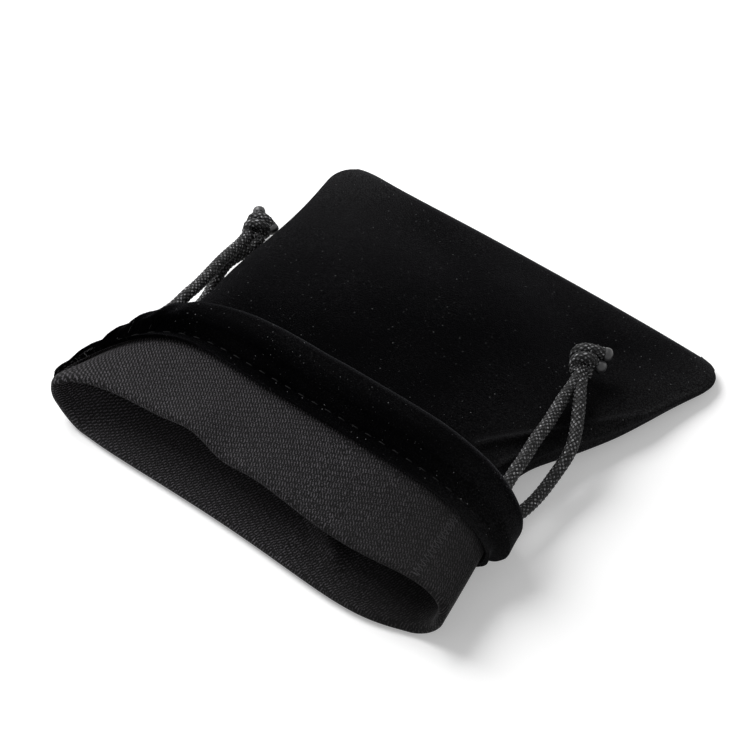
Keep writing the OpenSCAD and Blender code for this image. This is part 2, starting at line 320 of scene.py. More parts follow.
def addMesh(name, points, faces, materials, faceMaterial=None, place=None, placeName=None):
    mesh = bpy.data.meshes.new(name)
    corners = np.concatenate([np.asarray(f).reshape(-1) for f in faces])
    counts = np.concatenate([np.full(len(f), f.shape[1]) for f in faces])
    mesh.vertices.add(len(points))
    mesh.vertices.foreach_set("co", np.asarray(points, np.float32).ravel())
    mesh.loops.add(len(corners))
    mesh.loops.foreach_set("vertex_index", corners.astype(np.int32))
    mesh.polygons.add(len(counts))
    starts = np.concatenate([[0], np.cumsum(counts)[:-1]])
    mesh.polygons.foreach_set("loop_start", starts.astype(np.int32))
    for mat in materials:
        mesh.materials.append(mat)
    if faceMaterial is not None:
        mesh.polygons.foreach_set("material_index", np.asarray(faceMaterial, np.int32))
    if place is not None:
        layer = mesh.attributes.new(placeName, "FLOAT_VECTOR", "POINT")
        layer.data.foreach_set("vector", np.asarray(place, np.float32).ravel())
    mesh.update(calc_edges=True)
    mesh.validate()
    obj = bpy.data.objects.new(name, mesh)
    scene.collection.objects.link(obj)
    bpy.ops.object.select_all(action="DESELECT")
    obj.select_set(True)
    bpy.context.view_layer.objects.active = obj
    bpy.ops.object.shade_smooth_by_angle(angle=math.radians(smoothAngle))
    return obj


def gridFaces(rows, cols, start=0, turned=False, closed=False):
    r = np.arange(rows - 1)[:, None]
    c = np.arange(cols if closed else cols - 1)[None, :]
    nextC = (c + 1) % cols
    a, b = r * cols + c, r * cols + nextC
    d, e = (r + 1) * cols + c, (r + 1) * cols + nextC
    quads = np.stack([a, b, e, d], -1) if not turned else np.stack([a, d, e, b], -1)
    return quads.reshape(-1, 4) + start


def ease(v):
    c = np.clip(v, 0, 1)
    return c * c * (3 - 2 * c)


def mix(a, b, t):
    return a + (b - a) * t


def sinD(a):
    return np.sin(np.radians(a))


def cosD(a):
    return np.cos(np.radians(a))


def runLength(points):  # way along the points, from the first
    return np.concatenate([[0], np.cumsum(np.linalg.norm(np.diff(points, axis=0), axis=1))])


# Cloth, in millimetres and degrees, with the sizes of the two packed panels
cloth = SimpleNamespace(**{
    "clothT": 1.2, "flatW": 100, "bodyL": 88.5, "cornerR": 8, "farH": 4,
    "bellyD": 28, "bellyW": 90, "bellyH": 10.5, "bellySeamH": 4.2, "bellyShift": 2, "flatL": 33,
    "neckW": 82, "neckH": 14, "neckSeamH": 8.8, "neckShift": 4.5,
    "rimW": 92, "rimH": 12.8, "rimSeamH": 8.4, "mouthShift": 3, "lipLead": 6, "foldR": 1.1, "lipR": 0.5,
    "cuffL": 27.5, "cuffGapTop": 2.4, "cuffGapSide": 3.2, "seatGap": 0.3,
    "hemW": 11, "hemMargin": 2.6, "channelTaper": 2.5, "layerSpace": 0.1, "channelGap": 0.15,
    "sweepLeft": 22, "sweepRight": 4, "sweepPower": 4.5, "cordD": 3, "flatShare": 0.866,
    "columns": 190, "bodyRows": 104, "cuffRows": 34, "stripRows": 22, "rawEdgeFlare": 0.3,
    "noseRows": 9, "rimRows": 12, "foldRows": 14, "marginRows": 7,
    "noseTurn": (0, 80), "rimTurn": (13, 167), "foldTurn": (12, 168),
    "faceT": 0.4, "hemPress": 0.8, "pressFrom": 42, "pressOver": 34, "middleX": -3.8355,
    "stripTrim": 0.4, "trimFrom": 10, "trimOver": 60,
})
halfT = cloth.clothT / 2
noseR = cloth.farH / 2 - halfT
hemHalf = (cloth.cordD + cloth.clothT) / 2 + cloth.channelGap
layerGap = cloth.clothT + cloth.layerSpace
neckD = cloth.bodyL - cloth.cuffL
channelL = cloth.hemW - cloth.hemMargin
neckFloor = 2 * hemHalf + cloth.clothT + cloth.seatGap
yFar = (cloth.bodyL + cloth.lipLead / 2 + cloth.foldR + halfT) / 2
stations = [0, cloth.bellyD, neckD, cloth.bodyL]
halfWidth = [cloth.flatW / 2, cloth.bellyW / 2, cloth.neckW / 2, cloth.rimW / 2]
topHeight = [cloth.farH, cloth.bellyH, cloth.neckH, cloth.rimH]
seamHeight = [cloth.farH / 2, cloth.bellySeamH, cloth.neckSeamH, cloth.rimSeamH]
shiftLeft = [0, cloth.bellyShift, cloth.neckShift, cloth.mouthShift]
floorStations = [0, cloth.flatL, neckD - hemHalf, neckD + channelL, cloth.bodyL]
floorHeight = [0, 0, neckFloor, neckFloor, 2 * cloth.lipR]
archStations = [0, neckD, cloth.bodyL]
archPower = [2.6, 3.8, 5.5]   # 2 is a round arch and more is squarer


def segmentOf(xs, d):
    xs = np.asarray(xs, float)
    i = np.clip(np.searchsorted(xs, d, side="right") - 1, 0, len(xs) - 2)
    return i, xs[i + 1] - xs[i], np.clip((d - xs[i]) / (xs[i + 1] - xs[i]), 0, 1)


def curveAt(xs, ys, d):  # smooth curve through the stations
    ys = np.asarray(ys, float)
    n = len(ys)
    before, after = np.maximum(np.arange(n) - 1, 0), np.minimum(np.arange(n) + 1, n - 1)
    slope = (ys[after] - ys[before]) / (np.asarray(xs, float)[after] - np.asarray(xs, float)[before])
    i, h, u = segmentOf(xs, d)
    bend = slope[i] * h * u * (1 - u) ** 2 - slope[i + 1] * h * u * u * (1 - u)
    return mix(ys[i], ys[i + 1], ease(u)) + bend


def stepsAt(xs, ys, d):  # curve that is level at each station
    ys = np.asarray(ys, float)
    i, _, u = segmentOf(xs, d)
    return mix(ys[i], ys[i + 1], ease(u))


def clothHalfWidth(d, inset):
    arc = np.sqrt(np.maximum(0, (cloth.cornerR - inset) ** 2 - (cloth.cornerR - d) ** 2))
    return curveAt(stations, halfWidth, d) - np.where(d < cloth.cornerR, cloth.cornerR - arc, inset)


def sweepAt(p):
    return np.where(p > 0, cloth.sweepRight, cloth.sweepLeft) * np.abs(sinD(p)) ** cloth.sweepPower


def layerDistance(d, p):
    w = sweepAt(p)
    return np.where(d < neckD + w, d - w, cloth.bodyL - (cloth.bodyL - d) / (1 - w / cloth.cuffL))


def cuffGap(u):  # side, top and bottom gap from the neck to the cuff
    r = 2 * cloth.lipR
    bottom = mix(r, cloth.clothT + cloth.seatGap, ease(u / (1 - channelL / cloth.cuffL)))
    return [mix(r, cloth.cuffGapSide, ease(u)), mix(r, cloth.cuffGapTop, np.clip(u, 0, 1)), bottom]


def hemFullness(p):  # the hem is pressed flat where it goes round the left side
    return 1 - cloth.hemPress * ease((-p - cloth.pressFrom) / cloth.pressOver)


def stripTrimmed(p):  # and its strip is narrower there
    return cloth.stripTrim * ease((-p - cloth.trimFrom) / cloth.trimOver)


# Rows across the cloth from the sewn far edge, over the rim and along the cuff to the hem's raw edge:
# distance, whether it lies on the cuff, offset from the middle of the cloth, share of the cuff, angle of
# the far edge, how much further the full hem stands out, and the way along the hem's strip
def clothRows(e):
    parts = []

    def add(dist, onCuff, offset, share, nose, hemDist=0, hemOffset=0, strip=0):
        columns = [dist, onCuff, offset, share, nose, hemDist, hemOffset, strip]
        parts.append(np.stack([np.broadcast_to(np.asarray(c, float), len(dist)) for c in columns], 1))

    a = np.linspace(*cloth.noseTurn, cloth.noseRows)
    add(noseR + halfT - (noseR + e) * cosD(a), 0, e, 0, a)
    add(np.linspace(noseR + halfT, cloth.bodyL, cloth.bodyRows), 0, e, 0, 90)
    a = np.linspace(*cloth.rimTurn, cloth.rimRows)
    add(cloth.bodyL + (cloth.lipR - e) * sinD(a), 0, cloth.lipR - (cloth.lipR - e) * cosD(a), 0, 90)
    u = np.linspace(0, 1, cloth.cuffRows)
    add(cloth.bodyL - cloth.cuffL * u, 1, -e, u, 90)
    a = np.linspace(*cloth.foldTurn, cloth.foldRows)
    flatR, fullR = layerGap / 2, hemHalf - layerGap / 2
    add(neckD - (flatR + e) * sinD(a), 1, flatR - (flatR + e) * cosD(a), 1, 90,
        -fullR * sinD(a), fullR - fullR * cosD(a))
    channel = np.linspace(0, channelL, cloth.stripRows - cloth.marginRows + 1)
    s = np.concatenate([channel, np.linspace(channelL, cloth.hemW, cloth.marginRows)[1:]])
    flare = cloth.rawEdgeFlare * np.clip((s - channelL) / cloth.hemMargin, 0, 1) ** 2
    closing = 2 * fullR * ease((channelL - s) / cloth.channelTaper)
    add(neckD + s, 1, layerGap + flare + e, 1 - s / cloth.cuffL, 90, 0, closing, s)
    return np.concatenate(parts)


cuffStart = cloth.noseRows + cloth.bodyRows + cloth.rimRows
stripStart = cuffStart + cloth.cuffRows + cloth.foldRows
stitchRow = stripStart + cloth.stripRows - cloth.marginRows
angles = np.linspace(-90, 90, cloth.columns)


def clothGrid(e, side):
    rows = clothRows(e)[:, None, :]
    dist, onCuff, offset, share, nose, hemDist, hemOffset, strip = np.moveaxis(rows, -1, 0)
    p = angles[None, :]
    s = sinD(p)
    trimmed = strip * stripTrimmed(p)
    dist = dist + hemDist * hemFullness(p) - trimmed
    share = share + trimmed / cloth.cuffL
    offset = offset + hemOffset * hemFullness(p)
    gapSide, gapTop, gapBottom = [onCuff * gap for gap in cuffGap(share)]
    d = dist + share * sweepAt(p)
    seam = curveAt(stations, seamHeight, d)
    up = curveAt(stations, topHeight, d) - halfT - seam
    floor = stepsAt(floorStations, floorHeight, np.where(share > 0, dist, layerDistance(d, p)))
    down = seam - floor - halfT
    atNose = nose < 90
    a = np.where(atNose, clothHalfWidth(d, halfT - offset), clothHalfWidth(d, halfT) + gapSide + offset)
    wall = (up + gapTop if side > 0 else down + gapBottom) + offset
    b = np.where(atNose, (noseR + offset) * sinD(nose), wall)
    arch = np.sqrt(np.maximum(0, 1 - np.abs(s) ** curveAt(archStations, archPower, d)))
    edge = np.clip((np.abs(s) - cloth.flatShare) / (1 - cloth.flatShare), 0, 1)
    profile = arch if side > 0 else np.sqrt(1 - edge ** 2) + 0 * d
    lead = cloth.lipLead / 2 * ease((d - neckD) / cloth.cuffL) * -side * profile
    x = a * s - curveAt(stations, shiftLeft, d)
    return np.stack([x, yFar - d - lead, seam + side * b * profile], -1)


def clothPlaces(middle):  # millimetres across and along the cloth
    across = np.linalg.norm(np.diff(middle, axis=1), axis=2)
    u = np.concatenate([np.zeros((len(middle), 1)), np.cumsum(across, 1)], 1)
    u = u - u[:, cloth.columns // 2][:, None]
    along = np.linalg.norm(np.diff(middle, axis=0), axis=2)
    v = np.concatenate([np.zeros((1, middle.shape[1])), np.cumsum(along, 0)], 0)
    return u, v


def gridNormals(grid, side):
    down = np.gradient(grid, axis=0)
    across = np.gradient(grid, axis=1)
    n = np.cross(down, across) * side
    return n / np.maximum(np.linalg.norm(n, axis=2, keepdims=True), 1e-9)


# How the cloth hangs away from its plain form. A nudge has its panel, which is the front (1), the back (-1)
# or both (0), its centre and reach in degrees across and millimetres along the cloth, and the millimetres
# in x, y and z that it moves the cloth by. Along the hem's strip the count runs back, so that the strip
# moves with the cuff beneath it
clothNudges = [
    (0, (0, 89), (400, 7), (0, -0.5, 0)),          # both lips
    (-1, (36, 89), (30, 14), (0, -1.9, 0)),        # lower lip bows out
    (-1, (-68, 89), (16, 14), (0, 1.0, 0)),        # drawn in at its left
    (-1, (66, 89), (18, 14), (0, 2.1, 0)),         # and at its right
    (1, (28, 89), (26, 12), (0, -1.5, -2.4)),      # upper lip sags
    (1, (-22, 89), (8, 8), (0, 0.6, 0.8)),         # with a kink at its left
    (1, (-10, 89), (7, 8), (0, -0.5, -0.9)),
    (0, (-90, 95), (26, 18), (-3.8, -0.6, -0.4)),  # left end of the mouth
    (0, (-90, 118), (28, 20), (1.6, -2.0, -1.0)),  # left end of the hem
    (0, (-90, 118), (14, 20), (-1.8, -2.0, 0)),
    (0, (-80, 3), (30, 9), (-1.0, 2.0, 0)),        # far left corner
    (0, (-35, 0), (45, 8), (0, 1.2, 0)),           # far edge, its left
    (0, (15, 0), (50, 8), (0, 0.7, 0)),            # and its middle
    (0, (84, 4), (26, 10), (2.0, 0.1, -0.2)),      # far right corner
    (0, (90, 22), (32, 13), (1.2, 0, 0)),          # right side of the body
    (0, (90, 47), (32, 12), (-2.2, 0, 0.4)),       # and by the cuff
    (0, (-90, 55), (35, 9), (1.5, 0, 0)),          # left side by the cuff
    (0, (90, 102), (30, 14), (0.5, 0.4, 0.1)),     # right end of the cuff
    (0, (90, 119), (28, 9), (-0.6, 0.1, 0.3)),     # right end of the hem
    (-1, (70, 117), (16, 14), (-0.8, 0.2, 0.5)),   # tucked under
]
# A ridge (or a valley, below zero) follows points at millimetres across and along the cloth, and its two
# sides have their own width
clothRidges = [
    {"panel": 1, "path": [(30.5, 59), (34.5, 53), (39, 44), (41.5, 35), (45.5, 25), (48, 12)],
     "width": (1.0, 1.0), "height": 0.8},
    {"panel": 1, "path": [(37, 60), (39, 53), (41, 46)], "width": (1.0, 1.0), "height": 0.6},
    {"panel": -1, "path": [(20, 89), (14, 84.5), (7, 77)], "width": (2.4, 2.0), "height": -2.1},
]
# Millimetres along the cloth where each ends, if not said otherwise, and over how many it fades
hang = {
    "bellyWave": 0.45,           # soft unevenness of the body
    "bellyRows": (8, 54, 12),
    "bellyEdge": (80, 30),       # degrees across
    "underShare": 0.2,           # how much of it the underside has
    "gather": 0.3,               # bunching of the hem at its left end
    "gatherEdge": (-27, 14),     # millimetres across
    "hemWave": 0.1,
    "hemRows": (119.5, 125, 3),  # the hem's fold and channel, and not the margin past the stitches
    "seamDip": 0.35,             # the sewn edges draw in
    "seamWidth": 0.9,
    "seamEnd": (58, 10),
    "ridgesEnd": (87, 6),        # the folds die out before the rim
    "nudgeEdge": (90, 14),       # degrees across, so that the side seams stay sewn
}


def distanceToPath(path, u, v):  # below zero on one of its sides
    best = np.full(u.shape, 1e9)
    for (u0, v0), (u1, v1) in zip(path[:-1], path[1:]):
        du, dv = u1 - u0, v1 - v0
        t = np.clip(((u - u0) * du + (v - v0) * dv) / (du * du + dv * dv), 0, 1)
        far = np.hypot(u - u0 - t * du, v - v0 - t * dv)
        far = np.where(du * (v - v0) > dv * (u - u0), far, -far)
        best = np.where(np.abs(far) < np.abs(best), far, best)
    return best


def between(v, low, high, soft):
    return ease((v - low) / soft + 0.5) * ease((high - v) / soft + 0.5)


def fadeOut(v, end, soft):
    return ease((end - v) / soft)


def rowsAlong():  # millimetres along the cloth, the same on both panels
    return runLength(clothRows(0)[:, [0, 2]])[:, None]


def clothHang(side, middle, u, v):
    rowV = rowsAlong()
    p = angles[None, :]
    onStrip = clothRows(0)[:, -1:] * (1 - stripTrimmed(p))
    layerV = np.minimum(rowV, rowV[cuffStart + cloth.cuffRows - 1]) - onStrip
    move = np.zeros_like(middle)
    for panel, at, reach, shift in clothNudges:
        if panel in (0, side):
            far = ((p - at[0]) / reach[0]) ** 2 + ((layerV - at[1]) / reach[1]) ** 2
            joined = 1 if panel == 0 else fadeOut(np.abs(p), *hang["nudgeEdge"])
            move += (joined * np.exp(-far))[..., None] * np.array(shift, float)
    lift = np.zeros_like(u)
    for ridge in clothRidges:
        if ridge["panel"] == side:
            far = distanceToPath(ridge["path"], u, v)
            lift += ridge["height"] * np.exp(-(far / np.where(far < 0, *ridge["width"])) ** 2)
    lift *= fadeOut(rowV, *hang["ridgesEnd"])
    body = between(rowV, *hang["bellyRows"]) * fadeOut(np.abs(p), *hang["bellyEdge"])
    wave = np.sin(u / 9 + 1.3) * np.sin(v / 13 + 0.4) + 0.6 * np.sin(u / 5.3 - v / 8.1 + 2)
    lift += hang["bellyWave"] * body * wave * (1 if side > 0 else hang["underShare"])
    hem = between(rowV, *hang["hemRows"])
    bunch = (1 + np.sin(2 * np.pi * u / 5.6 + 0.8 * np.sin(u / 7))) * fadeOut(u, *hang["gatherEdge"])
    lift += hem * (hang["gather"] * bunch + hang["hemWave"] * (1 + np.sin(u / 2.9 + np.sin(u / 5.1))))
    edge = np.minimum(u - u[:, :1], u[:, -1:] - u)
    dip = np.exp(-(np.minimum(edge, rowV) / hang["seamWidth"]) ** 2)
    lift -= hang["seamDip"] * dip * fadeOut(rowV, *hang["seamEnd"])
    return move + gridNormals(middle, side) * lift[..., None]


seams = {"columns": 12, "rows": 9}  # over which the sewn edges pull the panels together


def sewTogether(front, back):  # the panels meet along the side seams and the far edge
    for axis, ends, reach in ((1, (1, -1), seams["columns"]), (0, (1,), seams["rows"])):
        for end in ends:
            a, b = (np.moveaxis(g, axis, 0)[::end][:reach] for g in (front, back))
            half = (a[0] - b[0]) / 2
            fade = ease(1 - np.arange(reach) / reach).reshape(-1, 1, 1)
            a -= half * fade
            b += half * fade


# Painted sheen on the velvet: how much of it, from 0 to 1, and the millimetres over which it fades
paintedSheenReach = {
    "left": (0.16, 7), "right": (0.84, 8), "far": (0.36, 7), "corner": (1, 16),
    "hemFold": (0.14, 2.5), "hemRight": (0.7, 10), "crease": (0.4, 0.7),
    "bodyEnd": (64, 8),   # millimetres along, where the sides go under the cuff
    "hemFoldAt": 120, "hemStart": (118, 4),
}


def paintedSheenEdge(key, away):
    most, reach = paintedSheenReach[key]
    return most * np.exp(-away / reach)


def paintedSheenLine(key, away):
    most, reach = paintedSheenReach[key]
    return most * np.exp(-(away / reach) ** 2)


def clothPaintedSheen(side, u, v):
    rowV = rowsAlong()
    toLeft, toRight = u - u[:, :1], u[:, -1:] - u
    sides = np.maximum(paintedSheenEdge("left", toLeft), paintedSheenEdge("right", toRight))
    sides = fadeOut(rowV, *paintedSheenReach["bodyEnd"]) * sides
    far = paintedSheenEdge("far", rowV)
    corner = paintedSheenEdge("corner", np.hypot(toLeft, rowV))
    hem = np.maximum(paintedSheenLine("hemFold", rowV - paintedSheenReach["hemFoldAt"]), paintedSheenEdge("hemRight", toRight))
    hem = ease((rowV - paintedSheenReach["hemStart"][0]) / paintedSheenReach["hemStart"][1]) * hem
    # painted highlight along the ridge of the crease
    crease = np.zeros_like(u)
    if side > 0:
        crease = paintedSheenLine("crease", distanceToPath(clothRidges[0]["path"], u, v))
    return np.maximum.reduce([sides, far + 0 * u, corner, hem, crease])


# The back has its own stretch of pattern, and painted shade darkens the knit from the middle to the right
pattern = {"backShift": 400, "shadeFrom": 4, "shadeOver": 36}


def clothPiece(name, side, away, u, v):
    rows = len(away)
    outer = clothGrid(cloth.faceT, side) + away
    inner = clothGrid(-cloth.faceT, side) + away
    points = np.concatenate([outer.reshape(-1, 3), inner.reshape(-1, 3)]) * mm
    along = v + (0 if side > 0 else pattern["backShift"])
    # the third value is the velvet's painted sheen
    place = np.stack([u, along, clothPaintedSheen(side, u, v)], -1).reshape(-1, 3)
    # painted shade on the knit, darker towards the right
    paintedShadeShare = ease((u - pattern["shadeFrom"]) / pattern["shadeOver"])
    knitPlace = np.stack([u, along, paintedShadeShare], -1).reshape(-1, 3)
    cols = cloth.columns
    n = rows * cols
    turned = side < 0
    r = np.arange(rows - 1)
    c = np.arange(cols - 1)
    leftEdge = np.stack([r * cols, (r + 1) * cols, n + (r + 1) * cols, n + r * cols], 1)
    rightEdge = np.stack([r * cols, n + r * cols, n + (r + 1) * cols, (r + 1) * cols], 1) + cols - 1
    farEdge = np.stack([c, n + c, n + c + 1, c + 1], 1)
    last = (rows - 1) * cols
    rawEdge = np.stack([last + c, last + c + 1, n + last + c + 1, n + last + c], 1)
    edges = np.concatenate([leftEdge, rightEdge, farEdge, rawEdge])
    if not turned:
        edges = edges[:, ::-1]
    outerFaces = gridFaces(rows, cols, 0, turned=not turned)
    innerFaces = gridFaces(rows, cols, n, turned=turned)
    faces = [outerFaces, innerFaces, edges]
    faceMaterial = np.concatenate([np.full(len(f), k) for f, k in zip(faces, (0, 1, 0))])
    obj = addMesh(name, points, faces, [velvet, knit], faceMaterial,
                  np.concatenate([place, knitPlace]), "clothPlace")
    return obj, outer, inner


def onCloth(obj):
    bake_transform(obj)


middles = {side: clothGrid(0, side) for side in (1, -1)}
places = {side: clothPlaces(middles[side]) for side in middles}
hangs = {side: clothHang(side, middles[side], *places[side]) - [cloth.middleX, 0, 0] for side in middles}
sewTogether(hangs[1], hangs[-1])
frontCloth, frontOuter, frontInner = clothPiece("frontCloth", 1, hangs[1], *places[1])
backCloth, backOuter = clothPiece("backCloth", -1, hangs[-1], *places[-1])[:2]
for obj, node in ((frontCloth, "front_panel"), (backCloth, "back_panel")):
    onCloth(obj)
    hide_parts(node)
print("cloth ready:", len(frontCloth.data.polygons), "faces a panel")


# Smooth curve through given points, evenly spaced, and its length
fineSteps = 2000


def smoothCurve(points, step):
    pts = np.asarray(points, float)
    t = runLength(pts)
    n = len(t)
    h = np.diff(t)
    system, right = np.eye(n), np.zeros((n, 3))
    for i in range(1, n - 1):
        system[i, i - 1:i + 2] = [h[i - 1], 2 * (h[i - 1] + h[i]), h[i]]
        right[i] = 6 * ((pts[i + 1] - pts[i]) / h[i] - (pts[i] - pts[i - 1]) / h[i - 1])
    bend = np.linalg.solve(system, right)

    def at(x):
        i = np.clip(np.searchsorted(t, x, side="right") - 1, 0, n - 2)
        a, b = (t[i + 1] - x) / h[i], (x - t[i]) / h[i]
        bendA, bendB = (((k ** 3 - k) * h[i] ** 2)[:, None] for k in (a, b))
        cubic = bendA * bend[i] + bendB * bend[i + 1]
        return a[:, None] * pts[i] + b[:, None] * pts[i + 1] + cubic / 6

    fine = at(np.linspace(0, t[-1], fineSteps))
    length = runLength(fine)
    wanted = np.linspace(0, length[-1], max(4, int(round(length[-1] / step)) + 1))
    return np.stack([np.interp(wanted, length, fine[:, k]) for k in range(3)], 1), length[-1]


def ringFrames(path):  # two directions across the cord at each ring, carried along without twist
    tangent = np.gradient(path, axis=0)
    tangent /= np.linalg.norm(tangent, axis=1, keepdims=True)
    first = np.cross(tangent[0], [0, 0, 1])
    if np.linalg.norm(first) < 1e-3:
        first = np.cross(tangent[0], [1, 0, 0])
    sides = [first / np.linalg.norm(first)]
    for t in tangent[1:]:
        s = sides[-1] - t * (sides[-1] @ t)
        sides.append(s / np.linalg.norm(s))
    sides = np.array(sides)
    return tangent, sides, np.cross(tangent, sides)


# Braided cord, in millimetres
cord = SimpleNamespace(**{
    "diameter": 2.7, "yarns": 8, "lay": 1.15, "relief": 0.24, "sides": 64, "ringStep": 0.16,
    "crownPower": 0.7, "crownDip": 0.45,  # how full a yarn is across, and how low its ends go
    "pinchLength": 9,  # over which the strands close up at the knot
    "slimEnd": 0.7, "slimLength": 3,  # a cord is squeezed where it goes into the hem
    "meltLength": 1.1, "meltOver": 0.7, "meltBulge": 0.12, "meltSag": 0.4,  # an end with no braid left
    "roundCap": ((25, 50, 72), 0.75), "flatCap": ((60,), 0.12),  # degrees of its rings, and its depth
})


def braidHeight(turn, along):  # 0 between the yarns and 1 on top of one
    u = turn * cord.yarns + along / cord.lay
    v = turn * cord.yarns - along / cord.lay
    over = (np.floor(u) + np.floor(v)) % 2 < 1
    waveU, waveV = np.sin(np.pi * (u - np.floor(u))), np.sin(np.pi * (v - np.floor(v)))
    low, high = cord.crownDip, 1 - cord.crownDip
    crown = np.where(over, waveU ** cord.crownPower * (low + high * waveV),
                     waveV ** cord.crownPower * (low + high * waveU))
    return crown, np.where(over, u, v)


def braidedTube(path, radius, roundStart=False, roundEnd=False, endMelted=False, intoHem=False):
    tangent, sideways, upwards = ringFrames(path)
    along = runLength(path)
    turn = np.arange(cord.sides) / cord.sides
    crown, yarn = braidHeight(turn[None, :], along[:, None])
    smooth = np.zeros(len(path))
    if endMelted:
        smooth = ease((along - along[-1] + cord.meltLength) / cord.meltOver)
    relief = cord.relief * (1 - smooth)[:, None]
    bulge = cord.meltBulge * smooth * (1 - cord.meltSag * smooth)
    r = radius - relief + relief * crown + bulge[:, None]
    if intoHem:
        r = r * mix(cord.slimEnd, 1, ease(along / cord.slimLength))[:, None]
    around = np.cos(2 * np.pi * turn)[None, :, None] * sideways[:, None, :]
    around = around + np.sin(2 * np.pi * turn)[None, :, None] * upwards[:, None, :]
    rings = path[:, None, :] + around * r[..., None]
    place = np.stack([yarn, np.broadcast_to(along[:, None], yarn.shape), crown * (1 - smooth)[:, None]], -1)
    caps = []
    for atEnd, rounded in ((False, roundStart), (True, roundEnd)):
        k = -1 if atEnd else 0
        direction = tangent[k] * (1 if atEnd else -1)
        spread = rings[k] - path[k]
        steps, depth = cord.roundCap if rounded else cord.flatCap
        extra = [path[k] + spread * cosD(a) + direction * radius * depth * sinD(a) for a in steps]
        caps.append((extra, path[k] + direction * radius * depth))
    allRings = np.concatenate([np.array(caps[0][0])[::-1], rings, np.array(caps[1][0])])
    before, after = len(caps[0][0]), len(caps[1][0])
    places = np.concatenate([np.repeat(place[:1], before, 0), place, np.repeat(place[-1:], after, 0)])
    count, n = len(allRings), cord.sides
    points = np.concatenate([allRings.reshape(-1, 3), [caps[0][1]], [caps[1][1]]])
    places = np.concatenate([places.reshape(-1, 3), places[0, :1], places[-1, :1]])
    k = np.arange(n)
    nextK = (k + 1) % n
    startFan = np.stack([nextK, k, np.full(n, count * n)], 1)
    endFan = np.stack([(count - 1) * n + k, (count - 1) * n + nextK, np.full(n, count * n + 1)], 1)
    walls = gridFaces(count, n, closed=True)
    meltedRow = np.concatenate([np.zeros(before), smooth > 0.5, np.full(after, endMelted)])
    wallMaterial = np.repeat(meltedRow[1:], n)
    capMaterial = np.concatenate([np.zeros(n), np.full(n, float(endMelted))])
    return points, walls, np.concatenate([startFan, endFan]), places, wallMaterial, capMaterial


def joinTubes(name, tubes):
    points, walls, fans, places, wallMats, fanMats = zip(*tubes)
    starts = np.cumsum([0] + [len(p) for p in points[:-1]])
    faces = [np.concatenate([f + start for f, start in zip(kind, starts)]) for kind in (walls, fans)]
    return addMesh(name, np.concatenate(points) * mm, faces, [braid, melted],
                   np.concatenate(wallMats + fanMats), np.concatenate(places), "cordPlace")


# Free strands. A route starts where the solids' strand leaves the hem, in millimetres. Sway is how far
# the limp strand lies off that route, at shares of its length. DrawFrom is a share of the strand's length,
# set for a draw on the knot. A lead brings the cord from the hem's slanted left end to the strand's start
strands = {
    "rightUpperStrand": {
        "side": "right", "rise": 3.8, "node": "right_upper_strand", "pinch": 1.3, "length": 0.038,
        "drawFrom": 0.3,
        "sway": [(0, -0.5, -3.2, 0.3), (0.3, 0, 0, 0), (0.6, 0.6, 0.2, -0.2), (1, 1.1, 0.5, -0.2)],
        "route": [(0, 0, 0), (-1.2, 3.4, 0.5), (-2.9, 9, 0.3), (-4.9, 17.4, -0.1), (-6.4, 24, -0.5),
                  (-8.1, 29.6, -0.6), (-9.7, 33.4, -0.3)],
    },
    "rightLowerStrand": {
        "side": "right", "rise": 0, "node": "right_lower_strand", "pinch": 0.5, "length": 0.040,
        "drawFrom": 0.6,
        "sway": [(0, 1.4, -2.8, -1), (0.35, -0.7, 0, 0.3), (0.55, 0, 0, 0), (1, 0, 0, 0)],
        "route": [(0, 0, 0), (1.2, 3.4, -0.8), (2.4, 8.4, -1.8), (2.6, 14, -0.9), (1.4, 18.6, 0.9),
                  (-2, 25.4, 2.6), (-4.9, 30.6, 3.2), (-6.6, 34.6, 3.5)],
    },
    "leftUpperStrand": {
        "side": "left", "rise": 0.6, "node": "left_upper_strand", "pinch": 0.2, "length": 0.045,
        "drawFrom": 0, "lead": [(-3.4, -10.9, 0.6), (-2.9, -8.8, 0.1), (-1.9, -5.2, -0.4)],
        "sway": [(0, -0.5, 0, -1.2), (0.3, 0, 0, -1.2), (0.46, 0, 0, 0), (0.72, -0.6, 0, 0.3),
                 (1, 0.7, 0.1, -0.1)],
        "route": [(0, 0, 0), (0.4, 5.8, -0.2), (0.7, 11.8, -0.6), (1, 17, -1.3), (0.6, 24.8, -2.6),
                  (-0.5, 33.8, -4), (-2.6, 40.8, -5), (-4.1, 44.2, -5.4)],
    },
    "leftLowerStrand": {
        "side": "left", "rise": -3.2, "node": "left_lower_strand", "pinch": 0.2, "length": 0.045,
        "drawFrom": 0, "lead": [(-2.6, -12.3, 1.7), (-2.1, -9.2, 1.3), (-1.4, -5.2, 0.4)],
        "sway": [(0, -1.2, 0, -0.4), (0.25, -0.3, 0, -0.6), (0.5, 0.9, 0, -2.1), (0.78, -1.4, 0, 0.7),
                 (1, 0.4, 0, 0)],
        "route": [(0, 0, 0), (0.4, 5.8, -0.2), (0.6, 11.8, -0.6), (0.5, 17, -1.2), (0.1, 24.8, -2.2),
                  (0, 33.8, -3.4), (-0.4, 40.8, -3.4), (-1, 45, -2.7)],
    },
}


def routePoints(spec):
    exitPoint = np.array(joints[spec["side"] + "_swing"]["pos_m"]) / mm
    return exitPoint + [0, 0, spec["rise"]] + np.array(spec["route"], float)


def strandPath(spec):
    path, length = smoothCurve(routePoints(spec), cord.ringStep)
    share = np.linspace(0, 1, len(path))
    at, *moves = np.array(spec["sway"], float).T
    path = path + np.stack([stepsAt(at, move, share) for move in moves], 1)
    ends = [routePoints(s)[-1] for s in strands.values() if s["side"] == spec["side"]]
    inwards = np.mean(ends, axis=0) - path[-1]
    inwards *= spec["pinch"] / np.linalg.norm(inwards)
    left = (len(path) - 1 - np.arange(len(path))) * cord.ringStep
    return path + ease(1 - left / cord.pinchLength)[:, None] * inwards, length


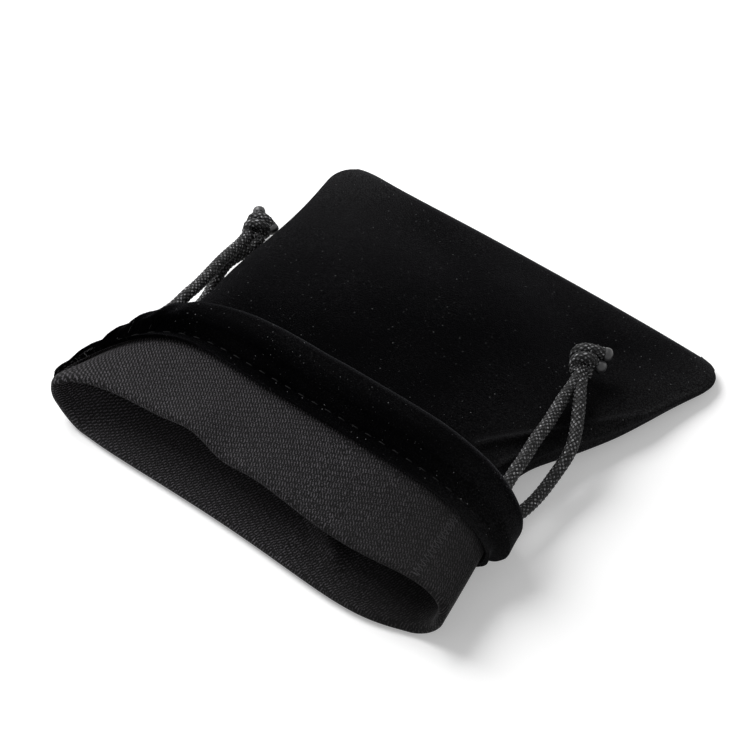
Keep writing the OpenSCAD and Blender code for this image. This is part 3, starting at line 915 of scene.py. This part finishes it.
# Knots, in millimetres: across the strands, up, and along the pull from the knot's face. Both are tied
# alike, and their tails lie differently
knotForm = {
    "radius": 1.3,
    "seat": -0.9,  # where the knot's face sits along the pull from the strands' ends
    "wrap": [(-0.9, 0, -0.6), (-1.4, 0.3, 0.6), (-1.5, 1.3, 1.5), (0, 1.95, 2.1), (1.6, 0.9, 2.6),
             (1.3, -1.1, 3.0), (-0.4, -1.7, 3.3), (-1.9, -0.4, 3.7), (-1.5, 1.2, 4.3)],
    "core": [(0.9, 0, -0.6), (0.8, -0.2, 0.7), (0.2, -0.2, 2)],
}
knots = {
    "rightKnot": {
        "side": "right", "node": "right_knot", "strands": ("rightUpperStrand", "rightLowerStrand"),
        "wrap": [(0.4, 1.7, 4.7), (2.4, 1.2, 4.9), (4.3, 0.7, 5.2)],
        "core": [(-0.3, 0, 3.2), (0.4, -0.2, 4.2), (1.9, -0.5, 3.9), (3.4, -0.6, 2.6)],
    },
    "leftKnot": {
        "side": "left", "node": "left_knot", "strands": ("leftUpperStrand", "leftLowerStrand"),
        "wrap": [(0.4, 1.7, 4.5), (1.9, 0.9, 4.2), (3.1, 0, 3.6)],
        "core": [(-0.3, 0, 3.4), (-0.8, 0.2, 5), (-1.3, 0.3, 6.2), (-1.8, 0.4, 7.4)],
    },
}


def buildKnot(name):
    spec = knots[name]
    pull = np.array(joints[spec["side"] + "_draw"]["axis"], float)
    across = np.cross(pull, [0, 0, 1])
    ends = np.array([strandPath(strands[s])[0][-1] for s in spec["strands"]])
    face = ends.mean(0) + knotForm["seat"] * pull
    tubes = []
    for part in ("wrap", "core"):
        local = np.array(knotForm[part] + spec[part], float)
        world = face + local[:, :1] * across + local[:, 1:2] * [0, 0, 1] + local[:, 2:] * pull
        path = smoothCurve(world, cord.ringStep)[0]
        tubes.append(braidedTube(path, knotForm["radius"], roundEnd=True, endMelted=True))
    knot = joinTubes(name, tubes)
    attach(knot, spec["side"] + "_pull")
    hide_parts(spec["node"])
    return knot


def buildLead(name, strandLine):  # moves with the hem, and the strand starts from its end
    points = np.concatenate([strandLine[0] + np.array(strands[name]["lead"], float), strandLine[:1]])
    path, length = smoothCurve(points, cord.ringStep)
    lead = joinTubes(name + "Lead", [braidedTube(path, cord.diameter / 2, roundEnd=True, intoHem=True)])
    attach(lead, "bag_front")
    print(name, "leaves the hem", round(length, 1), "mm further on")
    return lead


def buildStrand(name, knot):
    spec = strands[name]
    path, length = strandPath(spec)
    hasLead = "lead" in spec
    tube = braidedTube(path, cord.diameter / 2, roundStart=hasLead, intoHem=not hasLead)
    strand = joinTubes(name, [tube])
    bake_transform(strand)
    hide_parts(spec["node"])
    [knot] + ([buildLead(name, path)] if hasLead else [])
    print(name, "is", round(length, 1), "mm long")


for knotName in knots:
    knot = buildKnot(knotName)
    for strandName in knots[knotName]["strands"]:
        buildStrand(strandName, knot)
for node in ("left_cord_front_run", "right_cord_front_run", "left_cord_back_run", "right_cord_back_run"):
    run = frame["nodes"][node]
    run.data.materials.clear()
    run.data.materials.append(hiddenCord)
print("cords and knots ready")


# Sewing thread: the stitches that close the hem, and the zigzag over the seam that shows on the cuff
stitching = {"pitch": 3.3, "first": 0.25, "length": 2.1, "thickness": 0.24, "rise": 0.02, "sink": 0.35,
             "rings": 7, "flatRow": 2}  # rows on from the stitches, where the strip lies flat
sideSeam = {"across": 37.6, "start": 91, "end": 110, "pitch": 0.55, "swing": 0.8, "thickness": 0.16,
            "ringStep": 0.12}
threadSides = 6


def threadPiece(name, paths, thickness, material):  # a path is its points and their ways up
    points, walls, ends, start = [], [], [], 0
    turn = 2 * np.pi * np.arange(threadSides) / threadSides
    for mid, up in paths:
        across = np.cross(np.gradient(mid, axis=0), up)
        across /= np.linalg.norm(across, axis=1, keepdims=True)
        ring = np.cos(turn)[None, :, None] * across[:, None] + np.sin(turn)[None, :, None] * up[:, None]
        points.append((mid[:, None] + thickness / 2 * ring).reshape(-1, 3))
        walls.append(gridFaces(len(mid), threadSides, start, closed=True, turned=True))
        first = start + np.arange(threadSides)
        ends += [first, first[::-1] + (len(mid) - 1) * threadSides]
        start += len(mid) * threadSides
    obj = addMesh(name, np.concatenate(points) * mm, [np.concatenate(walls), np.array(ends)], [material])
    onCloth(obj)
    return obj


def alongLine(at, length, line):
    return np.stack([np.interp(at, length, line[:, i]) for i in range(3)], 1)


def buildStitches(name, outer, side):
    normal = gridNormals(outer, side)[stitchRow + stitching["flatRow"]]
    line = outer[stitchRow]
    length = runLength(line)
    share = np.linspace(-1, 1, stitching["rings"])
    paths = []
    for k in range(int(length[-1] / stitching["pitch"])):
        at = np.linspace(0, stitching["length"], stitching["rings"])
        at = (k + stitching["first"]) * stitching["pitch"] + at
        up = alongLine(at, length, normal)
        lift = stitching["rise"] - stitching["sink"] * share ** 4  # both ends go down into the cloth
        paths.append((alongLine(at, length, line) + up * lift[:, None], up))
    return threadPiece(name, paths, stitching["thickness"], thread)


def buildSideSeam(name, inner, u, v):
    rows = range(cuffStart, cuffStart + cloth.cuffRows)
    up = -gridNormals(inner, 1)

    def lineAt(grid, across):
        return np.array([alongLine([across], u[r], grid[r])[0] for r in rows])

    along = np.array([np.interp(sideSeam["across"], u[r], v[r]) for r in rows])
    edges = [lineAt(inner, sideSeam["across"] + swing * sideSeam["swing"]) for swing in (-1, 1)]
    normal = lineAt(up, sideSeam["across"])
    at = np.arange(sideSeam["start"], sideSeam["end"], sideSeam["pitch"])
    corners = np.array([alongLine([a], along, edges[k % 2])[0] for k, a in enumerate(at)])
    path = smoothCurve(corners, sideSeam["ringStep"])[0]
    ups = alongLine(np.linspace(at[0], at[-1], len(path)), along, normal)
    return threadPiece(name, [(path, ups)], sideSeam["thickness"], seamThread)


frontStitches = buildStitches("frontHemStitches", frontOuter, 1)
backStitches = buildStitches("backHemStitches", backOuter, -1)
rightSeam = buildSideSeam("rightSeamThread", frontInner, *places[1])
print("stitches ready")


# Table, backdrop and studio light
studio = {
    "floorSize": 8, "floorDrop": 0.0001, "floorColour": 0.88, "floorRoughness": 0.9, "floorSpecular": 0.1,
    "floorGlow": (0.06, 0.4, 0.28, 0.95),  # metres from the pouch, and the glow there
    "worldStrength": 0.25,
    "lamps": {  # place in metres, size in metres, watts
        "keyLight": ((-0.32, 0.06, 0.34), 0.35, 2.9),
        "fillLight": ((0.55, 0.55, 0.30), 0.6, 0.8),
    },
}


def seenPath(tree):  # 1 for what the camera sees, straight or by a reflection
    path = addNode(tree, "ShaderNodeLightPath")
    seen = maths(tree, "MAXIMUM", path.outputs["Is Camera Ray"], path.outputs["Is Glossy Ray"])
    return maths(tree, "MAXIMUM", seen, path.outputs["Is Transmission Ray"])


def addFloor():
    bpy.ops.object.select_all(action="DESELECT")
    bpy.ops.mesh.primitive_plane_add(size=studio["floorSize"])
    floor = bpy.context.active_object
    floor.name = "floor"
    floor.data.transform(Matrix.Translation((0, 0, -studio["floorDrop"])))
    mat, tree, shader = newMaterial("paleFloor")
    white = studio["floorColour"]
    away = addNode(tree, "ShaderNodeVectorMath", {0: ownPlace(tree)}, operation="LENGTH")
    glow = ramp(tree, away.outputs["Value"], *studio["floorGlow"], shape="LINEAR")
    seen = maths(tree, "MULTIPLY", seenPath(tree), glow)
    feedAll(tree, shader, {
        "Base Color": (white, white, white), "Roughness": studio["floorRoughness"],
        "Specular IOR Level": studio["floorSpecular"],
        "Emission Color": (1, 1, 1), "Emission Strength": seen,
    })
    floor.data.materials.append(mat)


def addWorld():
    world = bpy.data.worlds.new("studio")
    world.use_nodes = True
    tree = world.node_tree
    base = studio["worldStrength"]
    strength = maths(tree, "MULTIPLY_ADD", seenPath(tree), 1 - base, base)
    feedAll(tree, tree.nodes["Background"], {"Color": (1, 1, 1), "Strength": strength})
    scene.world = world


def addLamps():
    for name, (where, size, watts) in studio["lamps"].items():
        lamp = bpy.data.lights.new(name, "AREA")
        lamp.shape = "SQUARE"
        lamp.size = size
        lamp.energy = watts
        obj = bpy.data.objects.new(name, lamp)
        scene.collection.objects.link(obj)
        obj.location = where
        obj.rotation_euler = (-Vector(where)).to_track_quat("-Z", "Y").to_euler()


addFloor()
addWorld()
addLamps()
scene.view_settings.view_transform = "Standard"
print("studio ready")
